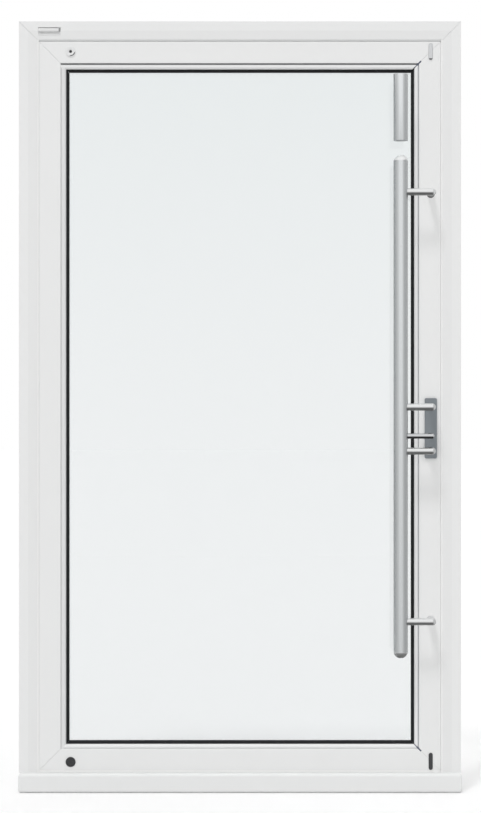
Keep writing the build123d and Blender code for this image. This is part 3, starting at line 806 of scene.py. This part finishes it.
# Upper bar: a short length of the same tube over the pull bar, its ends eased and closed, held to
# the glass by two turned stand-offs.
dress(bar_steel, "upper_bar", "upper_bar_standoffs")
upper_low, upper_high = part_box("upper_bar")
upper_short, upper_ease = 3.2 * mm, 1 * mm
upper_tall = upper_high.z - upper_low.z - upper_short
top_edge = eased(upper_tall, bar_radius, upper_ease)
tube = [(upper_tall - along, radius) for along, radius in top_edge[::-1]] + top_edge
tube_runs = [[(0, 0), tube[0]], tube, [tube[-1], (upper_tall, 0)]]
parts = bmesh.new()
lathe(parts, (bar_x, bar_y, upper_low.z), (0, 0, 1), tube_runs, bar_sides)
bmesh.ops.recalc_face_normals(parts, faces=parts.faces)
upper_tube = add_piece("upper_bar_tube", parts, bar_steel, "leaf", smooth=True)
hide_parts("upper_bar")
upper_tube.visible_glossy = False
for piece in (turned_caps, upper_tube, frame["nodes"]["pull_bar"]):
    piece.visible_diffuse = False

# Brackets and lock rod: round stainless arms welded to the bar, each meeting a turned stub that
# goes back to the stile. The stile stubs flare to a small rose at the face, the lock stubs stand
# on the plate. Arms, roses and the thinner rod between the lock arms carry painted shade
# underneath.
arm_steel = brushed_metal(
    "arm_steel", (0.82, 0.83, 0.83), (1, 0, 0), 0.28, painted_underside=(0.42, 0.3, -0.5)
)
rod_steel = brushed_metal(
    "rod_steel", (0.65, 0.66, 0.67), (1, 0, 0), 0.10, painted_underside=(0.06, 0.2, -0.5)
)
rose_steel = brushed_metal(
    "rose_steel", (0.68, 0.69, 0.695), (1, 0, 0), 0.28, painted_underside=(0.07, 0.35, -0.22)
)
stub_steel = brushed_metal("stub_steel", (0.62, 0.63, 0.635), (1, 0, 0), 0.32)
plate_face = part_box("lock_escutcheon")[0].y
arm_radius, rod_radius, rod_stub = 10 * mm, 7.5 * mm, 5.5 * mm
arm_past_stub, arm_into_bar, arm_ease, stub_ease = 2.5 * mm, 2.8 * mm, 1.4 * mm, 1 * mm
rose_foot, rose_neck, rose_rim, rose_rise = 11.3 * mm, 9.6 * mm, 1.6 * mm, 13 * mm
rose_steps, rose_flare = 10, 0.8


def cranked_arm(name, node, material, radius, parts):
    low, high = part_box(node)
    height = (low.z + high.z) / 2
    tip = plate_x + arm_past_stub - bar_x
    arm = [(bar_radius - arm_into_bar, radius)] + eased(tip, radius, arm_ease) + [(tip, 0)]
    lathe(parts, (bar_x, bar_y, height), (1, 0, 0), [arm[:2], arm[1:-1], arm[-2:]])
    piece = add_piece(name, parts, material, "leaf", smooth=True)
    piece.visible_diffuse = False
    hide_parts(node)
    return height


def turned_stub(parts, seat, height, radius, foot=()):
    end = eased(seat - bar_y, radius, stub_ease)
    side = [*foot, end[0]] if foot else [(0, radius), end[0]]
    face = [end[-1], (seat - bar_y, 0)]
    lathe(parts, (plate_x, seat, height), (0, -1, 0), [side, end, face])


rose = [(0, rose_foot), (rose_rim, rose_foot)]
for step in range(1, rose_steps + 1):
    share = step / rose_steps
    rise = rose_rim + (rose_rise - rose_rim) * share
    rose.append((rise, rose_foot - (rose_foot - rose_neck) * share**rose_flare))
stile_stubs, plate_stubs = bmesh.new(), bmesh.new()
for name, node, stubs, seat, foot in (
    ("upper_arm_and_rose", "upper_bracket", stile_stubs, leaf_face, rose),
    ("lower_arm_and_rose", "lower_bracket", stile_stubs, leaf_face, rose),
    ("lock_upper_arm", "lock_upper_bracket", plate_stubs, plate_face, ()),
    ("lock_lower_arm", "lock_lower_bracket", plate_stubs, plate_face, ()),
):
    height = cranked_arm(name, node, arm_steel, arm_radius, bmesh.new())
    turned_stub(stubs, seat, height, rose_neck, foot)
for name, stubs, steel in (
    ("bracket_roses", stile_stubs, rose_steel),
    ("lock_arm_stubs", plate_stubs, stub_steel),
):
    pair = add_piece(name, stubs, steel, "leaf", smooth=True)
    pair.visible_diffuse = False
parts = bmesh.new()
rod_low, rod_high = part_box("lock_rod")
turned_stub(parts, plate_face, (rod_low.z + rod_high.z) / 2, rod_stub)
cranked_arm("lock_turn_rod", "lock_rod", rod_steel, rod_radius, parts)

# Inside lever: a round stainless lever with a mitred elbow. Its neck stands on the inside plate,
# and it is of the same steel as the arms outside.
dress(arm_steel, "inside_lever")

# Floor: a plain pale studio floor that takes the door's soft shadow. It glows a little for the
# camera and through the glass, so that it reads as white.
floor_side, floor_front, floor_back, floor_level = 30, -12, 60, -0.5 * mm
glow_seen, glow_through = 0.15, 0.129
floor = Finish("studio_floor")
seen = floor.node("ShaderNodeLightPath", out="Is Camera Ray")
through = floor.node("ShaderNodeLightPath", out="Is Transmission Ray")
glow = seen * glow_seen + through * glow_through
flat = floor.node("ShaderNodeBsdfDiffuse", None, {"Color": (0.80, 0.80, 0.80, 1)})
lift = floor.node("ShaderNodeEmission", None, {"Color": (1, 1, 1, 1), "Strength": glow})
both = floor.node("ShaderNodeAddShader", None, {0: flat, 1: lift})
floor.node("ShaderNodeOutputMaterial", None, {"Surface": both})


def stage_sheet(name, corners, material):
    parts = bmesh.new()
    parts.faces.new([parts.verts.new(point) for point in corners])
    mesh = bpy.data.meshes.new(name)
    parts.to_mesh(mesh)
    parts.free()
    mesh.materials.append(material)
    sheet = bpy.data.objects.new(name, mesh)
    bpy.context.scene.collection.objects.link(sheet)
    return sheet


ground = stage_sheet(
    "studio_floor",
    [
        (-floor_side, floor_front, floor_level),
        (floor_side, floor_front, floor_level),
        (floor_side, floor_back, floor_level),
        (-floor_side, floor_back, floor_level),
    ],
    floor.material,
)
ground.visible_glossy = False


# Flags: grey studio cards at both sides, seen only in shiny metal, which shade off towards the
# back and give the round steel its soft dark bands.
def side_flag(name, x, bright, dark, shade, back):
    front, foot, top = -6.5, -0.4, 3.4
    card = Finish(name)
    spot = card.node("ShaderNodeTexCoord", out="Object")
    depth = card.node("ShaderNodeSeparateXYZ", None, {0: spot}, out="Y")
    bounced = card.node("ShaderNodeLightPath", out="Diffuse Depth")
    once = card.reckon("MINIMUM", bounced, 1.0)
    glow = card.node("ShaderNodeMapRange", None, {0: depth, 1: front, 2: dark, 3: bright, 4: shade})
    height = card.node("ShaderNodeSeparateXYZ", None, {0: spot}, out="Z")
    glow = glow * (0.93 + height * 0.065)
    glow = glow * (1 - once) + once
    lit = card.node("ShaderNodeEmission", None, {"Color": (1, 1, 1, 1), "Strength": glow})
    mirrored = card.node("ShaderNodeLightPath", out="Glossy Depth")
    clear = card.node("ShaderNodeBsdfTransparent", None, {"Color": (1, 1, 1, 1)})
    shown = card.reckon("MINIMUM", mirrored, 1.0)
    card_face = card.node("ShaderNodeMixShader", None, {0: shown, 1: clear, 2: lit})
    card.node("ShaderNodeOutputMaterial", None, {"Surface": card_face})
    sheet = stage_sheet(
        name, [(x, front, foot), (x, back, foot), (x, back, top), (x, front, top)], card.material
    )
    sheet.visible_camera = False
    sheet.visible_diffuse = False
    sheet.visible_shadow = False


side_flag("left_flag", -3.0, 0.80, 0.5, 0.47, 3.5)
side_flag("right_flag", 3.0, 0.88, -1.2, 0.46, 3.0)

# World: even white studio light. Camera and glass see plain white; in metal the studio's floor is
# dark well below eye level.
studio_light, dark_slope, light_slope, dark_gloss = 0.85, -0.42, 0.10, 0.26
world = bpy.data.worlds.new("studio")
bpy.context.scene.world = world
world.use_nodes = True
studio = Finish("studio_world", world.node_tree)
seen = studio.node("ShaderNodeLightPath", out="Is Camera Ray")
shine = studio.node("ShaderNodeLightPath", out="Is Glossy Ray")
through = studio.node("ShaderNodeLightPath", out="Is Transmission Ray")
way = studio.node("ShaderNodeTexCoord", out="Generated")
slope = studio.node("ShaderNodeSeparateXYZ", None, {0: way}, out="Z")
gloss = studio.node(
    "ShaderNodeMapRange", None, {0: slope, 1: dark_slope, 2: light_slope, 3: dark_gloss, 4: 1.0}
)
viewed = 1 - (1 - seen) * (1 - through)
power = studio_light + viewed * (1 - studio_light) + (1 - viewed) * shine * (gloss - studio_light)
sky = studio.node("ShaderNodeBackground", None, {"Color": (1, 1, 1, 1), "Strength": power})
studio.node("ShaderNodeOutputWorld", None, {"Surface": sky})

# Key light: a wide soft light from above and a little left, in front of the door. It is kept out
# of the shine on the metal.
key_way = Vector((0.184, 0.494, -0.85))
key = bpy.data.lights.new("key", "SUN")
key.energy = 0.89
key.angle = math.radians(12)
lamp = bpy.data.objects.new("key", key)
lamp.rotation_euler = key_way.to_track_quat("-Z", "Y").to_euler()
lamp.location = (-1.5, -4, 5)
lamp.visible_glossy = False
bpy.context.scene.collection.objects.link(lamp)

# Camera: straight on to the outside face at mid height, well back with a long lens, so that the
# door shows almost as an elevation.
view = bpy.data.cameras.new("front")
view.lens = 120.8
view.sensor_width = 36
eye = bpy.data.objects.new("front", view)
eye.location = (0.0015, -7.69, 1.080)
eye.rotation_euler = (math.radians(90), 0, 0)
bpy.context.scene.collection.objects.link(eye)
bpy.context.scene.camera = eye
bpy.context.scene.view_settings.view_transform = "Standard"
